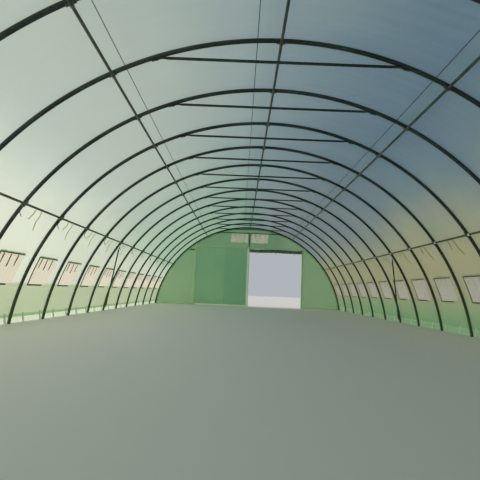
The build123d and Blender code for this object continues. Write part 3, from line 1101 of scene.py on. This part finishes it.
frame_tubes = []
for side in (-1, 1):
    post = tube("post", (side * DOOR_HALF, FRAME_PLACE, POST_TOP / 2), POST_TOP + 0.1, POST_TUBE / 2)
    edit()
    bpy.ops.mesh.bisect(
        plane_co=(side * DOOR_HALF, 0, POST_TOP), plane_no=(side * DOOR_HALF, 0, POST_TOP + ARC_DROP),
        use_fill=True, clear_outer=True,
    )
    select_all()
    bpy.ops.mesh.bisect(plane_co=(0, 0, 0), plane_no=(0, 0, 1), use_fill=True, clear_inner=True)
    leave()
    frame_tubes.append(post)
header_level = HEADER_HEIGHT - POST_TUBE / 2
frame_tubes.append(tube("header", (0, FRAME_PLACE, header_level), 2 * DOOR_HALF, POST_TUBE / 2, ACROSS))
for place in (-DOOR_HALF, 0, DOOR_HALF):
    middle = (place, FRAME_PLACE, header_level)
    frame_tubes.append(tube("sleeve", middle, SLEEVE_LENGTH, SLEEVE_RADIUS))
    for side in (-1, 1):
        if abs(place + side) < DOOR_HALF + 0.5:
            arm = (place + side * ARM_PLACE, FRAME_PLACE, header_level)
            frame_tubes.append(tube("sleeve", arm, ARM_LENGTH, SLEEVE_RADIUS, ACROSS))
            head = (place + side * SCREW_PLACE, FRAME_PLACE - POST_TUBE / 2 - 0.0035, header_level)
            frame_tubes.append(bolt("post_bolt", head, (0, -1, 0)))
frame_whole = join(frame_tubes, "door_frame")
soften(frame_whole)
post_finish = dull_zinc("post_zinc", (0.56, 0.7, 0.52), (0.76, 0.86, 0.68), 0.5, 0.0, 0.1)
both_ends(frame_whole, "door_frame_tubes", post_finish, "post_tube", "door_frame")
centre = tube("centre", (0, FRAME_PLACE, CENTRE_TOP / 2), CENTRE_TOP, POST_TUBE / 2)
soften(centre)
pale_post = dull_zinc(
    "pale_post_zinc", (0.9, 0.9, 0.76), (1.0, 1.0, 0.9), 0.5,
    metallic=0.0, grey_above=HEADER_HEIGHT,
)
both_ends(centre, "centre_post_tube", pale_post, "post_tube")


# End walls
# The same woven film, cut to the arc, with doubled edges beside the posts, a net vent
# on each side of the centre post, and at the arc a lap of the cover folded over the end hoop.
WALL_INSIDE = END + HOOP_TUBE / 2 + CLEARANCE
WALL_FILM = 0.003
WALL_SAG, WALL_HOLD = 0.018, 0.22
WALL_EDGE = 0.0012
POST_LAP, POST_LAP_PLACE = 0.055, 0.046
FOOT_EDGE, FOOT_EDGE_PLACE = (1.14, 0.05), 0.66
EDGE_SEAM = 0.03
VENT_TIES = (-0.15, 0.15), (0.01, 0.17), (0.17, 0.14)
BUNDLE, BUNDLE_LEVEL = (0.16, 0.05), 1.82
STRIP_COLUMN, STRIP_ROW = 0.035, 0.05
VENT_ACROSS = 0.34
VENT_WIDTH = 0.56
VENT_RISE, VENT_DROP = 0.17, 0.157
VENT_BORDER = 0.014
VENT_LOW = HEADER_HEIGHT + VENT_RISE
VENT_TOP = sqrt(FILM_INSIDE**2 - (VENT_ACROSS + VENT_WIDTH / 2) ** 2) - ARC_DROP - VENT_DROP
VENT_MIDDLE = (VENT_LOW + VENT_TOP) / 2
VENT_HEIGHT = VENT_TOP - VENT_LOW
VENT_NEAR, VENT_FAR = VENT_ACROSS - VENT_WIDTH / 2, VENT_ACROSS + VENT_WIDTH / 2
WALL_RADIUS = FILM_INSIDE - CLEARANCE
WALL_TOP = WALL_RADIUS - ARC_DROP
PANEL_TOP = sqrt(WALL_RADIUS**2 - DOOR_HALF**2) - ARC_DROP


def wall_slack(across, up):
    """How far the wall film stands out from its hoop, posts and header, in metres."""
    held = WALL_RADIUS - sqrt(across**2 + (up + ARC_DROP) ** 2)
    if abs(across) > DOOR_HALF:
        held = min(held, abs(across) - DOOR_HALF, up)
    else:
        held = min(held, up - HEADER_HEIGHT, abs(across), DOOR_HALF - abs(across))
    free = min(1.0, max(0.0, held) / WALL_HOLD)
    billow = 0.5 + 0.5 * ripple(across * 1.6, 7.0, up * 1.2)
    folds = ripple(across * 6.0 + 2.0 * up, 4.0, up * 1.5)
    return free * (WALL_SAG * billow + 0.003 * folds)


def on_wall(name, width, height, across, up, depth, thickness=WEBBING):
    """A flat strip standing across the far end, this deep outside the wall's inner face."""
    columns, rows = max(1, round(width / STRIP_COLUMN)), max(1, round(height / STRIP_ROW))
    strip = patch(name, width, height, (across, up), columns, rows, 0.0, thickness)
    stand = Matrix.Translation((0, WALL_INSIDE + depth, 0)) @ Matrix.Rotation(pi / 2, 4, "X")
    strip.data.transform(stand)
    for corner in strip.data.vertices:
        corner.co.y += wall_slack(corner.co.x, corner.co.z)
    return strip


def marks_between(low, high, steps):
    return [low + (high - low) * step / steps for step in range(steps)]


def wall_panel(name, columns, rows, place, thickness=FILM_SHEET, vents=False):
    """A sheet across the far end; place gives the spot on it for each column and row mark."""
    start()
    bpy.ops.mesh.primitive_grid_add(
        x_subdivisions=len(columns) - 1, y_subdivisions=len(rows) - 1, size=1
    )
    panel = settle(name)
    for corner in panel.data.vertices:
        column = columns[round((corner.co.x + 0.5) * (len(columns) - 1))]
        row = rows[round((corner.co.y + 0.5) * (len(rows) - 1))]
        across, up = place(column, row)
        corner.co = (across, WALL_INSIDE + WALL_FILM / 2 + wall_slack(across, up), up)
    edit("FACE")
    bpy.ops.mesh.remove_doubles(threshold=MERGE_WITHIN)
    if vents:
        pick("faces", in_vent)
        bpy.ops.mesh.delete(type="FACE")
    leave()
    thicken(panel, thickness)
    return panel


def in_vent(face):
    """Whether this face of the wall lies in one of the two vent openings."""
    spot = face.calc_center_median()
    beside = abs(abs(spot.x) - VENT_ACROSS) < VENT_WIDTH / 2
    return beside and VENT_LOW < spot.z < VENT_TOP


def beside_door(side):
    """Places on a side panel, from the post to the arc, for a share and a height."""
    def place(share, up):
        arc = sqrt(WALL_RADIUS**2 - (up + ARC_DROP) ** 2)
        return side * (DOOR_HALF + share * (arc - DOOR_HALF)), up
    return place


def over_door(across, up):
    """Places on the top panel, which fits under the arc: outside the vents its rows close up."""
    arc = sqrt(WALL_RADIUS**2 - across**2) - ARC_DROP
    crown = sqrt(WALL_RADIUS**2 - min(abs(across), VENT_FAR) ** 2) - ARC_DROP
    if abs(across) < VENT_FAR + 0.001:
        above = max(0.0, up - VENT_TOP) / (WALL_TOP - VENT_TOP)
        return across, min(up, VENT_TOP) + above * (arc - VENT_TOP)
    level = over_door(VENT_FAR, up)[1]
    return across, HEADER_HEIGHT + (level - HEADER_HEIGHT) * (arc - HEADER_HEIGHT) / (crown - HEADER_HEIGHT)


def under_arc(low, high):
    """Area between the arc and its centre line, from one distance along that line to another."""
    return sum(
        sign * (end * sqrt(WALL_RADIUS**2 - end**2) + WALL_RADIUS**2 * asin(end / WALL_RADIUS)) / 2
        for sign, end in ((1, high), (-1, low))
    )


def wall_finish(name, dark, light, glow, clear):
    """End wall film: flat folds from its packing, a soft unevenness, lighter at the sides below the header,
    and painted light making the right half much lighter than the left.
    """
    finish = Finish(name)
    across, along, up = finish.place()
    haze = finish.cloud(finish.vector(across, along, up), 0.9, 4.0, 0.6)
    threads = across.waves(TAPE_SPACING) * up.waves(TAPE_SPACING)
    half = across.math("ABSOLUTE")
    panel = half.between(0.80, 0.83) * up.between(HEADER_HEIGHT + 0.01, HEADER_HEIGHT) * 0.4
    panel = panel + half.between(DOOR_HALF + 0.04, DOOR_HALF + 0.05) * 0.3
    # Painted light: the right half is made much lighter than the left.
    panel = panel + across.between(0.9, 1.4) * 0.8
    fold = half.band(0.815, 0.004, 0.01) + up.band(0.995, 0.004, 0.01) + up.band(0.5, 0.003, 0.01) * 0.5
    sag = finish.cloud(finish.vector(across * 3.0, along, up * 1.2), 1.6, 2.0)
    tint = finish.mix((haze * 0.7 + panel * 0.6).between(0.1, 0.95), dark, light)
    tint = finish.mix(fold * 0.14, tint, (0.7, 0.86, 0.7))
    grain = finish.bump(threads * 0.3 + fold * 5.0 + sag * 14.0, 0.0008, 0.6)
    skin = finish.body(Base_Color=tint, Roughness=0.45 + 0.15 * haze, Normal=grain)
    through, hole = finish.light_through(glow), finish.opening((0.8, 1.0, 0.85))
    return finish.pierced(0.45, skin, through, clear, hole)


wall_film = wall_finish(
    "wall_film", (0.26, 0.5, 0.32), (0.62, 0.76, 0.54), (0.7, 0.88, 0.64), 0.14
)
for name, side in (("left", -1), ("right", 1)):
    rows = marks_between(0.0, PANEL_TOP, 24) + [PANEL_TOP]
    panel = wall_panel("panel", marks_between(0.0, 1.0, 18) + [1.0], rows, beside_door(side))
    panel_area = under_arc(ARC_DROP, ARC_DROP + PANEL_TOP) - DOOR_HALF * PANEL_TOP
    panels = both_ends(panel, f"wall_film_{name}", wall_film, "cover_film", f"wall_{name}")

half_columns = marks_between(0.0, VENT_NEAR, 2) + marks_between(VENT_NEAR, VENT_FAR, 12)
half_columns += marks_between(VENT_FAR, DOOR_HALF, 20) + [DOOR_HALF]
top_columns = [-column for column in reversed(half_columns[1:])] + half_columns
top_rows = marks_between(HEADER_HEIGHT, VENT_LOW, 4) + marks_between(VENT_LOW, VENT_TOP, 6)
top_rows += marks_between(VENT_TOP, WALL_TOP, 4) + [WALL_TOP]
top = wall_panel("top", top_columns, top_rows, over_door, vents=True)
top_area = 2 * under_arc(0.0, DOOR_HALF) - 2 * DOOR_HALF * (ARC_DROP + HEADER_HEIGHT)
top_area -= 2 * VENT_WIDTH * VENT_HEIGHT
top_sheets = both_ends(top, "wall_film_top", wall_film, "cover_film", "wall_top")

vent_finish = net_look(
    "vent_net", (0.62, 0.7, 0.5), (0.86, 0.8, 0.66), (0.9, 0.94, 0.78), 0.12
)
vent_rows = marks_between(VENT_LOW, VENT_TOP, 6) + [VENT_TOP]
vents = []
for side in (-1, 1):
    columns = [side * mark for mark in marks_between(VENT_NEAR, VENT_FAR, 12) + [VENT_FAR]]
    vents.append(wall_panel("vent", columns, vent_rows, lambda across, up: (across, up), NET_THREAD))
vent_nets = both_ends(join(vents, "vents"), "vent_net_sheets", vent_finish, "insect_net", "vent_nets")

edges = []
for side in (-1, 1):
    lap_height = sqrt(HOOP_IN**2 - (DOOR_HALF + 0.08) ** 2) - ARC_DROP
    lap_across = side * (DOOR_HALF + POST_LAP_PLACE)
    edges.append(on_wall("lap", POST_LAP, lap_height, lap_across, lap_height / 2, -WALL_EDGE))
    foot_across = side * (DOOR_HALF + FOOT_EDGE_PLACE)
    edges.append(on_wall("foot", *FOOT_EDGE, foot_across, 0.026, -WALL_EDGE))
    for place, width, height, level in (
        (VENT_ACROSS, VENT_WIDTH + 2 * EDGE_SEAM, 0.032, VENT_TOP + VENT_BORDER),
        (VENT_ACROSS, VENT_WIDTH + 2 * EDGE_SEAM, 0.032, VENT_LOW - VENT_BORDER),
        (VENT_NEAR - VENT_BORDER, EDGE_SEAM, VENT_HEIGHT, VENT_MIDDLE),
        (VENT_FAR + VENT_BORDER, EDGE_SEAM, VENT_HEIGHT, VENT_MIDDLE),
    ):
        edges.append(on_wall("border", width, height, side * place, level, -WALL_EDGE))
edge_film = wall_finish(
    "edge_film", (0.76, 0.84, 0.6), (0.94, 0.97, 0.82), (1.0, 1.0, 0.84), 0.2
)
wall_edges = both_ends(join(edges, "edges"), "wall_edges", edge_film, "skirt_film")

LAP_INSIDE = 3.028
LAP_WIDTH = 0.072
LAP_LIFT = 0.004
LAP_FOOT = asin((ARC_DROP + LAP_LIFT) / LAP_INSIDE)
folded = point("folded", (LAP_INSIDE * cos(LAP_FOOT), 0, LAP_LIFT))
for step in range(3):
    extrude(LAP_WIDTH / 3 * cos(LAP_FOOT), 0, LAP_WIDTH / 3 * sin(LAP_FOOT))
spin_arc(180, pi - 2 * LAP_FOOT)
for corner in folded.data.vertices:
    x, z = corner.co.x, corner.co.z + ARC_DROP
    angle, depth = degrees(atan2(z, x)), (LAP_INSIDE + LAP_WIDTH - sqrt(x * x + z * z)) / LAP_WIDTH
    pleat = 0.5 + 0.5 * sin(angle * 3.1 + 3 * ripple(angle * 0.2, 0, 0))
    corner.co.y = WALL_INSIDE + WALL_FILM + FILM_SHEET + 0.006 * pleat * depth
    if depth > 0.9:
        reach = 1 + 0.012 * ripple(angle * 0.35, 5, 0)
        corner.co.x, corner.co.z = x * reach, z * reach - ARC_DROP
solidify(folded, WEBBING)
soften(folded, 60)
laps = both_ends(folded, "end_lap", cover_film, "cover_film")

vent_parts = []
for side in (-1, 1):
    band_width = VENT_WIDTH + 0.02
    vent_parts.append(on_wall("band", band_width, 0.016, side * VENT_ACROSS, VENT_TOP, -0.0028))
    for place, length in VENT_TIES:
        spot = side * VENT_ACROSS + place, VENT_TOP - length / 2
        vent_parts.append(on_wall("tie", TIE_WIDTH, length, *spot, WALL_FILM + 0.001))
bundle = on_wall("bundle", *BUNDLE, -DOOR_HALF - 0.13, BUNDLE_LEVEL, -0.012, thickness=0.008)
for corner in bundle.data.vertices:
    corner.co.z += 0.008 * sin(60 * corner.co.x)
    corner.co.y -= 0.006 * cos(90 * corner.co.x)
both_ends(join(vent_parts + [bundle], "vent_straps"), "wall_straps", webbing, "rolled_flap")


# Door leaves
# Doubled film over half the doorway each: one hangs closed with pale edge bands,
# the other is rolled up under the header in three straps.
LEAF_BAND = 0.048
LEAF_DEPTH = 0.0016
LEAF_GAP = 0.013
LEAF_HOLD = 0.12
LEAF_EASE = 0.001
LEAF_ROLL, LEAF_PITCH = 0.056, 0.005
LEAF_STRAP = 0.022
STRAP_PLACES = (-0.62, 0.0, 0.62)
door_film = wall_finish(
    "door_film", (0.22, 0.5, 0.3), (0.5, 0.7, 0.48), (0.66, 0.9, 0.66), 0.07
)
leaf_width = DOOR_HALF - LEAF_GAP - LEAF_EASE - LEAF_BAND
leaf_height = HEADER_HEIGHT - LEAF_EASE - LEAF_BAND
leaf_middle = -DOOR_HALF + LEAF_EASE + leaf_width / 2, LEAF_BAND + leaf_height / 2
leaf = on_wall("leaf", leaf_width, leaf_height, *leaf_middle, LEAF_DEPTH)
for corner in leaf.data.vertices:
    inward = min(-LEAF_GAP - LEAF_BAND - corner.co.x, corner.co.x + DOOR_HALF)
    beside = min(1.0, max(0.0, inward) / LEAF_HOLD)
    beside *= min(1.0, max(0.0, corner.co.z - LEAF_BAND) / LEAF_HOLD)
    low = 1 - corner.co.z / HEADER_HEIGHT
    billow = 0.5 + 0.5 * ripple(corner.co.x * 2.2, 0, corner.co.z * 1.1)
    folds = 0.5 + 0.5 * ripple(corner.co.x * 7.5, 2, corner.co.z * 0.6)
    corner.co.y += (0.022 * billow * (0.35 + low) + 0.006 * folds * low) * beside
soften(leaf, 60)
leaves = both_ends(leaf, "door_leaf", door_film, "door_film", "door_closed")

side_band = -LEAF_GAP - LEAF_BAND / 2
band_height = HEADER_HEIGHT - 2 * LEAF_EASE
foot_width = leaf_width + LEAF_EASE
foot_middle = -DOOR_HALF + foot_width / 2, LEAF_BAND / 2 + LEAF_EASE
leaf_bands = [
    on_wall("band", LEAF_BAND, band_height, side_band, HEADER_HEIGHT / 2, LEAF_DEPTH),
    on_wall("band", foot_width, LEAF_BAND, *foot_middle, LEAF_DEPTH),
]
bands = both_ends(join(leaf_bands, "leaf_bands"), "door_leaf_bands", edge_film, "skirt_film")

# Painted shade: the roll's tones are far darker than the door film's own, for the shade under the header.
door_roll_painted_shade = rolled_look("rolled_door_film", (0.05, 0.12, 0.05), (0.14, 0.27, 0.12))
ROLL_LEVEL = HEADER_HEIGHT - POST_TUBE - CLEARANCE - 0.060
roll_length = DOOR_HALF - POST_TUBE - 0.004
roll = rolled_film("roll", roll_length, LEAF_ROLL, HEADER_HEIGHT, LEAF_PITCH, 26, 2 * FILM_SHEET)
for corner in roll.data.vertices:
    squeeze = sum(exp(-((corner.co.x - place) / 0.05) ** 2) for place in STRAP_PLACES)
    full = 1 + 0.09 * ripple(corner.co.x * 5, corner.co.y * 6, 4) - 0.14 * squeeze
    droop = 0.006 * cos(corner.co.x * pi / STRAP_PLACES[-1])
    corner.co.y, corner.co.z = corner.co.y * full + droop, corner.co.z * full
hung = Matrix.Translation((DOOR_HALF / 2, WALL_INSIDE, ROLL_LEVEL)) @ Matrix.Rotation(pi / 2, 4, "X")
roll.data.transform(hung)
soften(roll, 50)
rolls = both_ends(roll, "door_leaf_roll", door_roll_painted_shade, "door_film", "door_rolled")

roll_ties = []
for place in STRAP_PLACES:
    roll_ties.append(ring_strap("ring", LEAF_ROLL - 0.0015, LEAF_STRAP, place))
    tail = patch("tail", 0.018, 0.05, (place + 0.004, -0.068), rows=3, lift=0.03)
    for corner in tail.data.vertices:
        corner.co.z -= 0.012 * sin(20 * corner.co.y)
    roll_ties.append(tail)
roll_ties = join(roll_ties, "roll_ties")
roll_ties.data.transform(hung)
soften(roll_ties)
both_ends(roll_ties, "door_roll_straps", webbing, "rolled_flap")


# Floor, light and camera
# A plain pale floor, even light from all round with a soft warm lamp
# low on the left, and the camera just inside the near end, low over the ground.
start()
bpy.ops.mesh.primitive_plane_add(size=90, location=(0, 0, 0))
floor = settle("floor")
finish = Finish("pale_floor")
floor.data.materials.append(finish.done(finish.body(Base_Color=(0.74, 0.73, 0.7), Roughness=0.8)))

world = bpy.data.worlds.new("studio")
bpy.context.scene.world = world
world.use_nodes = True
backdrop = world.node_tree.nodes["Background"]
backdrop.inputs["Color"].default_value = (0.86, 0.92, 1.0, 1.0)
backdrop.inputs["Strength"].default_value = 0.5

bpy.ops.object.light_add(type="SUN", location=(-12, 0, 8), rotation=(radians(62), 0, radians(-90)))
key = bpy.context.object
key.name = "key_lamp"
key.data.energy = 2.6
key.data.angle = radians(30)
key.data.color = (1.0, 0.94, 0.84)

bpy.ops.object.camera_add(
    location=(-0.267, -7.812, 0.512), rotation=(radians(96.103), radians(-2.347), radians(-0.046))
)
camera = bpy.context.object
camera.data.sensor_width = 36.0
camera.data.lens = 35.595
camera.data.clip_start = 0.02
bpy.context.scene.camera = camera
bpy.context.scene.view_settings.view_transform = "Standard"
